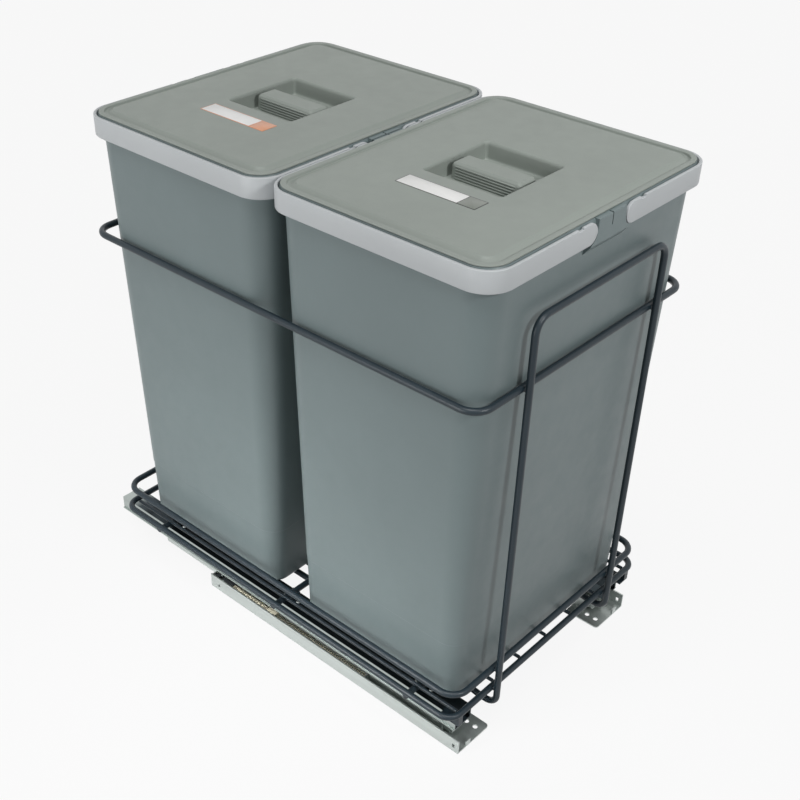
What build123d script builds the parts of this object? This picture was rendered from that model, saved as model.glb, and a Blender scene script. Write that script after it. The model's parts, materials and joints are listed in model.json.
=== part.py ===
from build123d import *
import math
import os

# Pull-out waste sorter for a kitchen base cabinet: two lidded bins, one behind the
# other, stand in a wire basket that runs on a pair of two-stage ball slides.
#
# Frame: X across the cabinet, the user stands at -Y, +Z up. The origin is on the
# cabinet floor, in the middle of the front fixing holes. Millimetres.
# On the slides, "u" is the distance from the middle plane of the unit, outwards.

# ---------------------------------------------------------------- driving sizes
running_gap = 0.3  # air between pieces that move past each other
sheet = 1.5  # steel sheet of the slides
pick = 0.01  # how near to a height an edge lies to be chosen by it

# wire basket
wire_d = 7.0  # rings, hoops and cross wires
floor_wire_d = 4.0  # wires that the bins stand on
ring_corner_r = 19.0  # at the wire's centre
ring_setback = 2.0  # of the rings' front wire behind the front end of the cabinet rails
lower_ring_corner_r = 15.0
lower_ring_spread = 4.5  # of the lowest ring outside the others, at each side
ring_side_gap = 1.9  # between the guard ring and the side of a bin
ring_front_gap = 0.92  # between the guard ring and the front of the front bin
ring_rear_gap = 14.52  # between the guard ring and the back of the rear bin
ring_step = 27.0  # from the lower to the upper base ring
guard_ring_z = 419.0
hoop_half_width = 100.0
hoop_top_z = 487.5
hoop_corner_r = 15.0
hoop_foot_r = 13.0  # bend from the leg to the run under the floor
hoop_foot_drop = 8.0  # the foot dips this far under the run
hoop_foot_length = 26.0  # level part of the foot
hoop_foot_ramp = 30.0  # from the foot up to the run
hoop_ramp_r = 40.0  # bends at both ends of the ramp
cross_wire_pitch = 195.0
cross_wire_count = 3
floor_wire_pitch = 46.0
floor_wire_count = 5
side_wire_x = 150.0  # the floor wires along both sides
floor_wire_end_gap = 1.0  # from their ends to the ring's wire

# slides
track_u = 129.0  # middle of the ball track
middle_web_u = 132.0  # middle of the middle rail's web
plate_u = 135.0  # middle of the basket rail, which overhangs the track outwards
cabinet_rail_length = 377.0
middle_rail_length = 453.5
basket_rail_length = 535.0
track_setback = 29.0  # of its front end behind the front end of the cabinet rail
middle_rail_setback = 18.0
basket_rail_setback = 9.5
ball_d = 6.0
ball_gap = 0.25  # above and below a ball
track_half_width = 12.5  # inside of the cabinet rail's track
track_lip = 3.0
track_height = 16.5
middle_gap = 1.0  # middle rail to the track's walls
middle_lip_gap = 0.4  # its low edges to the track's lips
middle_web_z = 32.5  # underside of the middle rail's upper flange
middle_skirt = 5.5  # depth of its down-turned edges
basket_half_width = 13.0  # outside of the basket rail
basket_lip = 3.5
basket_side_gap = 0.8  # middle rail to the inside of the basket rail
basket_bead = 1.3  # rolled edge along the outside
basket_lip_gap = 0.5  # its lips to the middle rail's turned edges
outer_wall_u = 152.5  # outer face of the cabinet rail
outer_wall_z = 18.0
notch_length = 3.5
notch_height = 5.0
notch_z = 5.5
notch_from_front = 4.7
rear_hole_r = 1.7
rear_hole_z = 7.0
rear_hole_from_end = 13.5
stop_lug_width = 7.0  # bent up at the front edge, under the middle rail
stop_lug_from_middle = 6.5

# fixing tabs
tab_reach_u = 100.4  # inner edge of a tab
tab_length = 43.0
tab_corner_r = 4.0
fixing_u = 112.0
fixing_pitch = 11.5
fixing_hole_r = 2.75
fixing_from_front = 9.4  # front edge to the first hole

# ball cages
cage_sheet = 0.8
cage_edge_gap = 0.6
cage_hole_gap = 0.15
lower_cage_rear_gap = 32.0  # in front of the rear end of the cabinet rail
lower_cage_length = 192.0
upper_cage_rear_gap = 52.5  # in front of the rear end of the middle rail
upper_cage_length = 277.0
lower_ball_offset = 8.0  # of a row of balls from the middle of its rail
upper_ball_offset = 6.5
balls_per_row = 8
cage_end_margin = 8.0

# soft-close unit, in the channel beside the track
closer_z = 13.5
closer_gap = 0.5  # to the walls of the channel
closer_lug_height = 16.5
catch_length = 29.0
catch_rear_gap = 4.0
catch_bottom_z = 3.0
catch_top_z = 18.0
catch_mouth_length = 6.0
catch_mouth_from_rear = 9.0
catch_mouth_z = 9.5
damper_length = 58.0
damper_rib_count = 12
damper_rib_width = 2.2
damper_rib_depth = 0.4
damper_wall = 0.7
damper_end_wall = 3.0
slider_length = 14.0
rod_r = 1.1
piston_r = 2.1
piston_length = 4.0
spring_length = 137.0
spring_wire_d = 0.8
spring_r = 2.6  # at the wire's centre
spring_turns = 44
spring_gap_steps = 48  # points to a turn when its gap to itself is measured
drive_pin_r = 2.0

# brackets under the front corners of the lower base ring
bracket_u = 154.5  # outer edge
bracket_post_width = 6.5
bracket_post_length = 8.0
bracket_reach = 9.0  # in front of the rail
bracket_foot_width = 15.0
bracket_foot_length = 25.0

# saddles that carry the cross wires on the basket rails
saddle_width = 14.0
saddle_length = 26.0
saddle_plate = 2.0
saddle_lift = 5.5  # from the rail to the underside of a cross wire
saddle_cradle = 11.0  # length of the block under the wire
saddle_seat_gap = 0.1
rivet_r = 2.0
rivet_head_r = 3.0
rivet_head = 1.0
rivet_head_taper = 20.0  # degrees
rivet_pitch = 19.0
rivet_gap = 0.1

# bins
bin_pitch = 254.5  # front to rear
bin_foot_x = 294.0
bin_foot_y = 212.0
bin_foot_corner_r = 20.0
bin_neck_x = 319.0
bin_neck_y = 238.0
bin_neck_corner_r = 28.0
bin_height = 490.0
bin_wall = 2.4
bin_foot_fillet = 6.0
bin_step_z = 74.0  # above the bin's underside
bin_step = 0.5
collar_height = 23.0
collar_x = 322.4
collar_y = 245.6
collar_corner_r = 24.0
collar_wall = 2.8
pad_width = 41.0  # hinge pad between the handle ends
slit_width = 1.6
slit_depth = 12.0

# bail handles, two to a bin, folded down round the collar
handle_gap = 0.6
handle_wall = 3.2
handle_height = 20.5
handle_pivot_x = 32.5
handle_pin_r = 2.5
handle_pin_gap = 0.06
handle_pin_length = 3.0
handle_notch_from_pivot = 11.0
handle_notch_width = 6.5
handle_notch_depth = 1.8
pad_inset = 0.3  # of the hinge pad behind the handle's face

# lids
lid_rim = 1.5  # thickness of the rim that lies on the collar
lid_rim_width = 5.3
lid_rim_edge_r = 0.6
lid_inset = 1.6  # of the rim inside the collar's outline
lid_channel_width = 8.8  # between the rim and the panel
lid_channel_depth = 2.4
lid_channel_r = 2.2
lid_panel_rise = 1.0  # above the rim
lid_wall = 2.2
lid_skirt = 8.0
lid_skirt_gap = 0.6
pocket_x = 93.0
pocket_y = 88.0
pocket_corner_r = 4.0
pocket_depth = 17.0
pocket_taper = 4.0
grip_x = 25.0
grip_y = 77.0
grip_corner_r = 4.0
grip_drop = 1.2  # of the grip's top under the panel
grip_top_r = 3.2
grip_rib_count = 5
grip_rib_pitch = 2.6
grip_rib_width = 1.3
grip_rib = 0.8
label_x = 20.0
label_y = 88.0
label_thickness = 0.25
label_from_middle = 73.5
label_corner_r = 0.8

# ---------------------------------------------------------------- derived places
rail_front_y = -(fixing_from_front + fixing_pitch)
cabinet_rail_rear_y = rail_front_y + cabinet_rail_length
middle_front_y = rail_front_y + middle_rail_setback
basket_rail_front_y = rail_front_y + basket_rail_setback
basket_rail_rear_y = basket_rail_front_y + basket_rail_length
middle_rear_y = middle_front_y + middle_rail_length
lower_cage_front_y = cabinet_rail_rear_y - lower_cage_rear_gap - lower_cage_length
upper_cage_front_y = middle_rear_y - upper_cage_rear_gap - upper_cage_length

lower_ball_z = sheet + ball_gap + ball_d / 2
middle_flange_z = lower_ball_z + ball_d / 2 + ball_gap
middle_top_z = middle_web_z + sheet
upper_ball_z = middle_top_z + ball_gap + ball_d / 2
basket_plate_z = upper_ball_z + ball_d / 2 + ball_gap
basket_rail_top_z = basket_plate_z + sheet
basket_lip_z = middle_web_z - middle_skirt - basket_lip_gap - sheet

cross_wire_z = basket_rail_top_z + saddle_lift + wire_d / 2
lower_ring_z = cross_wire_z + wire_d
upper_ring_z = lower_ring_z + ring_step
floor_wire_z = cross_wire_z + wire_d / 2 + floor_wire_d / 2
hoop_run_z = cross_wire_z - wire_d
bin_floor_z = floor_wire_z + floor_wire_d / 2 + running_gap
bin_top_z = bin_floor_z + bin_height
collar_z = bin_top_z - collar_height


def neck_share(z):
    """How far up the tapered body of a bin a height lies, 0 to 1."""
    return (z - bin_floor_z) / (collar_z - bin_floor_z)


def body_x(z):
    return bin_foot_x + (bin_neck_x - bin_foot_x) * neck_share(z)


def body_y(z):
    return bin_foot_y + (bin_neck_y - bin_foot_y) * neck_share(z)


def body_corner(z):
    return bin_foot_corner_r + (bin_neck_corner_r - bin_foot_corner_r) * neck_share(z)


ring_x = body_x(guard_ring_z) + 2 * ring_side_gap + wire_d
ring_inner_length = bin_pitch + body_y(guard_ring_z) + ring_front_gap + ring_rear_gap
ring_length = ring_inner_length + wire_d
ring_front_y = rail_front_y + ring_setback
lower_ring_x = ring_x + 2 * lower_ring_spread
basket_mid_y = ring_front_y + ring_length / 2
bin_front_y = ring_front_y + wire_d / 2 + ring_front_gap + body_y(guard_ring_z) / 2
bin_rear_y = bin_front_y + bin_pitch

handle_x = collar_x + 2 * (handle_gap + handle_wall)
handle_y = collar_y + 2 * (handle_gap + handle_wall)
handle_corner_r = collar_corner_r + handle_gap + handle_wall
handle_z = bin_top_z - handle_height / 2
lid_z = bin_top_z + running_gap
lid_rim_z = lid_z + lid_rim
lid_top_z = lid_rim_z + lid_panel_rise
lid_channel_z = lid_rim_z - lid_channel_depth

track_outer_u = track_u + track_half_width + sheet
channel_u = (track_outer_u + outer_wall_u - sheet) / 2
closer_width = outer_wall_u - sheet - track_outer_u - 2 * closer_gap
catch_rear_y = cabinet_rail_rear_y - sheet - catch_rear_gap
catch_front_y = catch_rear_y - catch_length
damper_front_y = catch_front_y - damper_length
slider_front_y = damper_front_y - slider_length
spring_front_y = slider_front_y - running_gap - spring_length

os.makedirs("parts", exist_ok=True)


def finish(piece, name):
    """Label a finished piece and write it under its own name."""
    piece.part.label = name
    export_step(piece.part, f"parts/{name}.step")


def across(y):
    """A plane across the unit at y: its first axis is X, its second Z; it faces -Y."""
    return Plane(origin=(0, y, 0), x_dir=(1, 0, 0), z_dir=(0, -1, 0))


def strip(side, u_low, u_high, z_low, z_high):
    """A rectangle of a slide's section, between two distances from the middle."""
    with Locations((side * (u_low + u_high) / 2, (z_low + z_high) / 2)):
        Rectangle(u_high - u_low, z_high - z_low)


def mirrored_strip(side, middle_u, inner, outer, z_low, z_high):
    """The same strip on both sides of a profile's own middle."""
    strip(side, middle_u + inner, middle_u + outer, z_low, z_high)
    strip(side, middle_u - outer, middle_u - inner, z_low, z_high)


# ---------------------------------------------------------------- slides
def cabinet_rail(side):
    """The fixed rail: floor, outer wall, ball track and the front tab with its holes."""
    track_out = track_half_width + sheet
    with BuildPart() as rail:
        with BuildSketch(across(cabinet_rail_rear_y)):
            strip(side, track_u - track_out, outer_wall_u, 0, sheet)
            strip(side, outer_wall_u - sheet, outer_wall_u, 0, outer_wall_z)
        extrude(amount=cabinet_rail_length)
        with BuildSketch(across(cabinet_rail_rear_y)):
            mirrored_strip(side, track_u, track_half_width, track_out, 0, track_height)
            mirrored_strip(side, track_u, track_half_width - track_lip, track_out,
                           track_height - sheet, track_height)
        extrude(amount=cabinet_rail_length - track_setback)
        with BuildSketch(Plane.XY) as tab:
            tab_root = track_u - track_out + tab_corner_r
            with Locations((side * (tab_reach_u + tab_root) / 2,
                            rail_front_y + tab_length / 2)):
                Rectangle(tab_root - tab_reach_u, tab_length)
            inner_corners = tab.vertices().group_by(Axis.X)[0 if side > 0 else -1]
            fillet(inner_corners, tab_corner_r)
        extrude(amount=sheet)
        with BuildSketch(Plane.XY):
            with Locations((side * fixing_u, 0)):
                with GridLocations(1, fixing_pitch, 1, 3):
                    Circle(fixing_hole_r)
        extrude(amount=sheet, mode=Mode.SUBTRACT)
        # lugs across the closer's channel: one holds the rod, one the spring
        for lug_rear_y in (cabinet_rail_rear_y, spring_front_y):
            with BuildSketch(across(lug_rear_y)):
                strip(side, track_outer_u - sheet, outer_wall_u, 0, closer_lug_height)
            extrude(amount=sheet)
        with BuildSketch(across(cabinet_rail_rear_y)):
            with Locations((side * channel_u, closer_z)):
                Circle(rod_r)
        extrude(amount=sheet, mode=Mode.SUBTRACT)
        with BuildSketch(across(rail_front_y + sheet)):
            with Locations((side * (track_u + stop_lug_from_middle),
                            (middle_flange_z - ball_gap) / 2)):
                Rectangle(stop_lug_width, middle_flange_z - ball_gap)
        extrude(amount=sheet)
        # a notch near the front and a small hole near the rear of the outer wall
        wall_plane = Plane(origin=(side * outer_wall_u, 0, 0), x_dir=(0, 1, 0),
                           z_dir=(1, 0, 0))
        with BuildSketch(wall_plane):
            with Locations((rail_front_y + notch_from_front + notch_length / 2,
                            notch_z + notch_height / 2)):
                Rectangle(notch_length, notch_height)
            with Locations((cabinet_rail_rear_y - rear_hole_from_end, rear_hole_z)):
                Circle(rear_hole_r)
        extrude(amount=-side * sheet, mode=Mode.SUBTRACT)
    return rail


def middle_rail(side):
    """The rail between: a web with a flange and turned edges at each end."""
    low_out = track_half_width - middle_gap
    high_out = basket_half_width - sheet - basket_side_gap
    skirt_top = track_height - sheet - middle_lip_gap
    with BuildPart() as rail:
        with BuildSketch(across(middle_rear_y)):
            mirrored_strip(side, track_u, 0, low_out, middle_flange_z,
                           middle_flange_z + sheet)
            mirrored_strip(side, track_u, low_out - sheet, low_out, middle_flange_z,
                           skirt_top)
            mirrored_strip(side, middle_web_u, 0, sheet / 2, middle_flange_z, middle_top_z)
            mirrored_strip(side, plate_u, 0, high_out, middle_web_z, middle_top_z)
            mirrored_strip(side, plate_u, high_out - sheet, high_out,
                           middle_web_z - middle_skirt, middle_top_z)
        extrude(amount=middle_rail_length)
    return rail


def basket_rail(side):
    """The rail under the basket: an open box section over the middle rail."""
    inside = basket_half_width - sheet
    with BuildPart() as rail:
        with BuildSketch(across(basket_rail_rear_y)):
            mirrored_strip(side, plate_u, 0, basket_half_width, basket_plate_z,
                           basket_rail_top_z)
            mirrored_strip(side, plate_u, inside, basket_half_width, basket_lip_z,
                           basket_plate_z)
            mirrored_strip(side, plate_u, inside - basket_lip, basket_half_width,
                           basket_lip_z, basket_lip_z + sheet)
            strip(side, plate_u + inside, plate_u + basket_half_width + basket_bead,
                  basket_lip_z, basket_lip_z + sheet)
        extrude(amount=basket_rail_length)
        with BuildSketch(Plane.XY.offset(basket_plate_z)):
            for wire_y in cross_wire_ys():
                with Locations((side * plate_u, wire_y)):
                    with GridLocations(1, rivet_pitch, 1, 2):
                        Circle(rivet_r + rivet_gap)
        extrude(amount=sheet, mode=Mode.SUBTRACT)
        # the drive pin stands over the mouth of the catch
        pin_y = catch_rear_y - catch_mouth_from_rear
        with BuildSketch(Plane.XY.offset(catch_top_z + running_gap)):
            with Locations((side * (plate_u + basket_half_width - drive_pin_r), pin_y)):
                Circle(drive_pin_r)
        extrude(amount=basket_lip_z + sheet - catch_top_z - running_gap)
    return rail


def cross_wire_ys():
    first = -(cross_wire_count - 1) / 2
    return [basket_mid_y + (first + i) * cross_wire_pitch for i in range(cross_wire_count)]


def ball_ys(front_y, length):
    step = (length - 2 * cage_end_margin) / (balls_per_row - 1)
    return [front_y + cage_end_margin + i * step for i in range(balls_per_row)]


def ball_cage(side, middle_u, front_y, length, half_width, ball_offset, middle_z):
    """A flat strip with a hole round each ball."""
    with BuildPart() as cage:
        with BuildSketch(Plane.XY.offset(middle_z - cage_sheet / 2)):
            with Locations((side * middle_u, front_y + length / 2)):
                Rectangle(2 * half_width, length)
            for y in ball_ys(front_y, length):
                with Locations((side * middle_u - ball_offset, y),
                               (side * middle_u + ball_offset, y)):
                    Circle(ball_d / 2 + cage_hole_gap, mode=Mode.SUBTRACT)
        extrude(amount=cage_sheet)
    return cage


def balls(side, middle_u, front_y, length, ball_offset, middle_z):
    with BuildPart() as row:
        for y in ball_ys(front_y, length):
            with Locations((side * middle_u - ball_offset, y, middle_z),
                           (side * middle_u + ball_offset, y, middle_z)):
                Sphere(ball_d / 2)
    return row


# ---------------------------------------------------------------- soft-close unit
def catch(side):
    """The block that the drive pin takes along, with an open mouth at its top."""
    mouth_y = catch_rear_y - catch_mouth_from_rear + catch_mouth_length / 2
    with BuildPart() as block:
        with BuildSketch(across(catch_rear_y)):
            with Locations((side * channel_u, (catch_bottom_z + catch_top_z) / 2)):
                Rectangle(closer_width, catch_top_z - catch_bottom_z)
            with Locations((side * channel_u, closer_z)):
                Circle(rod_r + running_gap, mode=Mode.SUBTRACT)
        extrude(amount=catch_length)
        with BuildSketch(across(mouth_y)):
            with Locations((side * channel_u, (catch_mouth_z + catch_top_z) / 2)):
                Rectangle(closer_width, catch_top_z - catch_mouth_z)
        extrude(amount=catch_mouth_length, mode=Mode.SUBTRACT)
    return block


def damper_cylinder(side):
    """The ribbed cylinder that rides behind the catch and slows it."""
    core_r = closer_width / 2 - damper_rib_depth
    rib_pitch = damper_length / (damper_rib_count + 1)
    first_rib_y = catch_front_y - rib_pitch + damper_rib_width / 2
    with BuildPart() as cylinder:
        with BuildSketch(across(catch_front_y)):
            with Locations((side * channel_u, closer_z)):
                Circle(core_r)
        extrude(amount=damper_length)
        for i in range(damper_rib_count):
            with BuildSketch(across(first_rib_y - i * rib_pitch)):
                with Locations((side * channel_u, closer_z)):
                    Circle(closer_width / 2)
            extrude(amount=damper_rib_width)
        with BuildSketch(across(catch_front_y - damper_end_wall)):
            with Locations((side * channel_u, closer_z)):
                Circle(core_r - damper_wall)
        extrude(amount=damper_length - 2 * damper_end_wall, mode=Mode.SUBTRACT)
        with BuildSketch(across(catch_front_y)):
            with Locations((side * channel_u, closer_z)):
                Circle(rod_r + running_gap)
        extrude(amount=damper_end_wall, mode=Mode.SUBTRACT)
    return cylinder


def damper_rod(side):
    """The rod and its piston, held by the rear lug of the cabinet rail."""
    piston_y = damper_front_y + damper_end_wall + running_gap + piston_length
    with BuildPart() as rod:
        with BuildSketch(across(cabinet_rail_rear_y)):
            with Locations((side * channel_u, closer_z)):
                Circle(rod_r)
        extrude(amount=cabinet_rail_rear_y - piston_y)
        with BuildSketch(across(piston_y)):
            with Locations((side * channel_u, closer_z)):
                Circle(piston_r)
        extrude(amount=piston_length)
    return rod


def spring_slider(side):
    """The block between the damper and the spring."""
    with BuildPart() as block:
        with BuildSketch(across(damper_front_y)):
            with Locations((side * channel_u, (catch_bottom_z + catch_top_z) / 2)):
                Rectangle(closer_width, catch_top_z - catch_bottom_z)
        extrude(amount=slider_length)
    return block


def helix_point(turn):
    """The spring's centre line, counted in turns from its front end, along +Y."""
    angle = 2 * math.pi * turn
    rise = spring_wire_d / 2 + turn * (spring_length - spring_wire_d) / spring_turns
    return Vector(spring_r * math.cos(angle), rise, spring_r * math.sin(angle))


def helix_tangent(turn):
    angle = 2 * math.pi * turn
    rate = (spring_length - spring_wire_d) / spring_turns / (2 * math.pi)
    return Vector(-spring_r * math.sin(angle), rate, spring_r * math.cos(angle)).normalized()


def biarc_joint(start, start_dir, end, end_dir):
    """The point where two arcs of equal reach meet in one tangent."""
    chord = end - start
    both = start_dir + end_dir
    a = 2 * (start_dir.dot(end_dir) - 1)
    b = -2 * chord.dot(both)
    c = chord.dot(chord)
    reach = (-b - math.sqrt(b * b - 4 * a * c)) / (2 * a)
    return (start + start_dir * abs(reach) + end - end_dir * abs(reach)) * 0.5


def closing_spring(side):
    """A compression spring of round wire, wound on biarcs of half a turn."""
    place = Vector(side * channel_u, spring_front_y, closer_z)
    with BuildPart() as spring:
        with BuildLine() as path:
            for half in range(2 * spring_turns):
                start, end = helix_point(half / 2), helix_point(half / 2 + 0.5)
                start_dir = helix_tangent(half / 2)
                joint = biarc_joint(start, start_dir, end, helix_tangent(half / 2 + 0.5))
                first = TangentArc(place + start, place + joint, tangent=start_dir)
                TangentArc(place + joint, place + end, tangent=first % 1)
        with BuildSketch(Plane(origin=path.wire() @ 0, z_dir=path.wire() % 0)):
            Circle(spring_wire_d / 2)
        sweep(path=path.wire())
    return spring


def spring_self_gap():
    """Least air between turns of the spring, on points of its centre line."""
    steps = spring_gap_steps
    points = [helix_point(i / steps) for i in range(3 * steps)]
    apart = [(points[i] - points[j]).length for i in range(steps)
             for j in range(i + steps // 2, len(points))]
    return min(apart) - spring_wire_d


# ---------------------------------------------------------------- wire basket
def bent_wire(points, radii):
    """Round wire bent to arcs at each corner of its route."""
    with BuildPart() as wire:
        with BuildLine() as path:
            route = FilletPolyline(*points, radius=radii)
        with BuildSketch(Plane(origin=route @ 0, z_dir=route % 0)):
            Circle(wire_d / 2)
        sweep(path=path.wire())
    return wire


def ring(z, width, corner_r):
    """A closed ring of wire round the bins. It starts in the middle of its front."""
    half_x, half_y = width / 2, ring_length / 2
    start = (0, basket_mid_y - half_y, z)
    corners = [(-half_x, -half_y), (-half_x, half_y), (half_x, half_y), (half_x, -half_y)]
    route = [(x, basket_mid_y + y, z) for x, y in corners]
    return bent_wire([start] + route + [start], [0] + [corner_r] * len(corners))


def hoop(end):
    """Half of the tall frame: an upright hoop at one end (-1 front, +1 rear) whose
    legs turn under the floor and run to the middle of the basket."""
    hoop_y = end * (ring_length / 2 + wire_d)
    toe_y = hoop_y - end * hoop_foot_length
    ramp_y = toe_y - end * hoop_foot_ramp
    foot_z = hoop_run_z - hoop_foot_drop
    half = [(0, hoop_run_z), (ramp_y, hoop_run_z), (toe_y, foot_z), (hoop_y, foot_z),
            (hoop_y, hoop_top_z)]
    left = [(-hoop_half_width, basket_mid_y + y, z) for y, z in half]
    right = [(hoop_half_width, basket_mid_y + y, z) for y, z in reversed(half)]
    radii = [hoop_ramp_r, hoop_ramp_r, hoop_foot_r, hoop_corner_r]
    return bent_wire(left + right, radii + radii[::-1])


def straight_wires(ends, diameter):
    """A group of separate straight wires."""
    with BuildPart() as wires:
        for start, end in ends:
            direction = Vector(*end) - Vector(*start)
            with BuildSketch(Plane(origin=start, z_dir=direction)):
                Circle(diameter / 2)
            extrude(amount=direction.length)
    return wires


def cross_wires():
    reach = lower_ring_x / 2
    ends = [((-reach, y, cross_wire_z), (reach, y, cross_wire_z)) for y in cross_wire_ys()]
    return straight_wires(ends, wire_d)


def floor_wires():
    half = ring_length / 2 - wire_d / 2 - floor_wire_end_gap
    first = -(floor_wire_count - 1) / 2
    xs = [(first + i) * floor_wire_pitch for i in range(floor_wire_count)]
    xs += [-side_wire_x, side_wire_x]
    ends = [((x, basket_mid_y - half, floor_wire_z), (x, basket_mid_y + half, floor_wire_z))
            for x in xs]
    return straight_wires(ends, floor_wire_d)


def saddles(side):
    """Blocks on the basket rail with a round seat for each cross wire."""
    with BuildPart() as blocks:
        for y in cross_wire_ys():
            with BuildSketch(Plane.XY.offset(basket_rail_top_z)):
                with Locations((side * plate_u, y)):
                    Rectangle(saddle_width, saddle_length)
                    with GridLocations(1, rivet_pitch, 1, 2):
                        Circle(rivet_r + rivet_gap, mode=Mode.SUBTRACT)
            extrude(amount=saddle_plate)
            with BuildSketch(Plane.XY.offset(basket_rail_top_z + saddle_plate)):
                with Locations((side * plate_u, y)):
                    Rectangle(saddle_width, saddle_cradle)
            extrude(amount=cross_wire_z - basket_rail_top_z - saddle_plate)
            seat = Plane(origin=(side * plate_u - saddle_width / 2, y, cross_wire_z),
                         z_dir=(1, 0, 0))
            with BuildSketch(seat):
                Circle(wire_d / 2 + saddle_seat_gap)
            extrude(amount=saddle_width, mode=Mode.SUBTRACT)
    return blocks


def corner_bracket(side):
    """A foot on the rail's front end with a post up to the ring's corner."""
    front_y = basket_rail_front_y - bracket_reach
    post_top_z = lower_ring_z - wire_d / 2 - running_gap
    with BuildPart() as bracket:
        with BuildSketch(across(front_y + bracket_foot_length)):
            strip(side, bracket_u - bracket_foot_width, bracket_u,
                  basket_rail_top_z, basket_rail_top_z + sheet)
        extrude(amount=bracket_foot_length)
        with BuildSketch(across(front_y + bracket_post_length)):
            strip(side, bracket_u - bracket_post_width, bracket_u,
                  basket_rail_top_z, post_top_z)
        extrude(amount=bracket_post_length)
    return bracket


def rivets(side):
    """Two rivets for each saddle, headed under the rail's plate."""
    with BuildPart() as group:
        for y in cross_wire_ys():
            for end in (-1, 1):
                spot = (side * plate_u, y + end * rivet_pitch / 2)
                with BuildSketch(Plane.XY.offset(basket_plate_z - rivet_head)):
                    with Locations(spot):
                        Circle(rivet_head_r)
                extrude(amount=rivet_head)
                with BuildSketch(Plane.XY.offset(basket_plate_z)):
                    with Locations(spot):
                        Circle(rivet_r)
                extrude(amount=sheet + saddle_plate)
                with BuildSketch(Plane.XY.offset(basket_rail_top_z + saddle_plate)):
                    with Locations(spot):
                        Circle(rivet_head_r)
                extrude(amount=rivet_head, taper=rivet_head_taper)
    return group


# ---------------------------------------------------------------- bins
def body_sections(middle_y, z_low, z_high, inset):
    """The outlines of a bin's tapered body at two heights, drawn in by an inset."""
    outlines = []
    for z in (z_low, z_high):
        with BuildSketch(Plane.XY.offset(z)) as outline:
            with Locations((0, middle_y)):
                RectangleRounded(body_x(z) - 2 * inset, body_y(z) - 2 * inset,
                                 body_corner(z) - inset)
        outlines.append(outline.sketch)
    return outlines


def waste_bin(middle_y):
    """A tapered bin with a stiff collar and a hinge pad in the middle of each end."""
    step_z = bin_floor_z + bin_step_z
    pads_length = handle_y - 2 * pad_inset
    with BuildPart() as tub:
        loft(body_sections(middle_y, bin_floor_z, step_z, bin_step))
        fillet(tub.faces().sort_by(Axis.Z)[0].edges(), bin_foot_fillet)
        loft(body_sections(middle_y, step_z, collar_z, 0))
        with BuildSketch(Plane.XY.offset(collar_z)):
            with Locations((0, middle_y)):
                RectangleRounded(collar_x, collar_y, collar_corner_r)
                Rectangle(pad_width, pads_length)
        extrude(amount=collar_height)
        loft(body_sections(middle_y, bin_floor_z + bin_wall, collar_z, bin_wall),
             mode=Mode.SUBTRACT)
        with BuildSketch(Plane.XY.offset(collar_z)):
            with Locations((0, middle_y)):
                RectangleRounded(collar_x - 2 * collar_wall, collar_y - 2 * collar_wall,
                                 collar_corner_r - collar_wall)
        extrude(amount=collar_height, mode=Mode.SUBTRACT)
        # slit in each hinge pad, and the holes for the handles' pins
        with BuildSketch(Plane.XY.offset(bin_top_z)):
            with Locations((0, middle_y)):
                with GridLocations(1, pads_length, 1, 2):
                    Rectangle(slit_width, pads_length - collar_y)
        extrude(amount=-slit_depth, mode=Mode.SUBTRACT)
        with BuildSketch(across(middle_y + collar_y / 2)):
            with Locations((-handle_pivot_x, handle_z), (handle_pivot_x, handle_z)):
                Circle(handle_pin_r + handle_pin_gap)
        extrude(amount=collar_y, mode=Mode.SUBTRACT)
    return tub


def bail_handle(side, middle_y):
    """A flat band folded round half of the collar, with a pin at each end."""
    face_y = handle_y / 2
    with BuildPart() as band:
        with BuildSketch(Plane.XY.offset(handle_z - handle_height / 2)):
            with Locations((0, middle_y)):
                RectangleRounded(handle_x, handle_y, handle_corner_r)
                RectangleRounded(handle_x - 2 * handle_wall, handle_y - 2 * handle_wall,
                                 handle_corner_r - handle_wall, mode=Mode.SUBTRACT)
            kept = handle_x / 2 - handle_pivot_x
            with Locations((side * (handle_pivot_x + kept / 2), middle_y)):
                Rectangle(kept, handle_y, mode=Mode.INTERSECT)
        extrude(amount=handle_height)
        for end in (-1, 1):
            outer_y = middle_y + end * face_y
            rear_y = outer_y if end > 0 else outer_y + handle_wall
            with BuildSketch(across(rear_y)):
                with Locations((side * handle_pivot_x, handle_z)):
                    Circle(handle_height / 2)
            extrude(amount=handle_wall)
            notch_x = handle_pivot_x + handle_notch_from_pivot + handle_notch_width / 2
            notch_z = handle_z + handle_height / 2 - handle_notch_depth / 2
            with BuildSketch(across(rear_y)):
                with Locations((side * notch_x, notch_z)):
                    Rectangle(handle_notch_width, handle_notch_depth)
            extrude(amount=handle_wall, mode=Mode.SUBTRACT)
            pin_rear_y = rear_y - handle_wall if end > 0 else rear_y + handle_pin_length
            with BuildSketch(across(pin_rear_y)):
                with Locations((side * handle_pivot_x, handle_z)):
                    Circle(handle_pin_r)
            extrude(amount=handle_pin_length)
    return band


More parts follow.
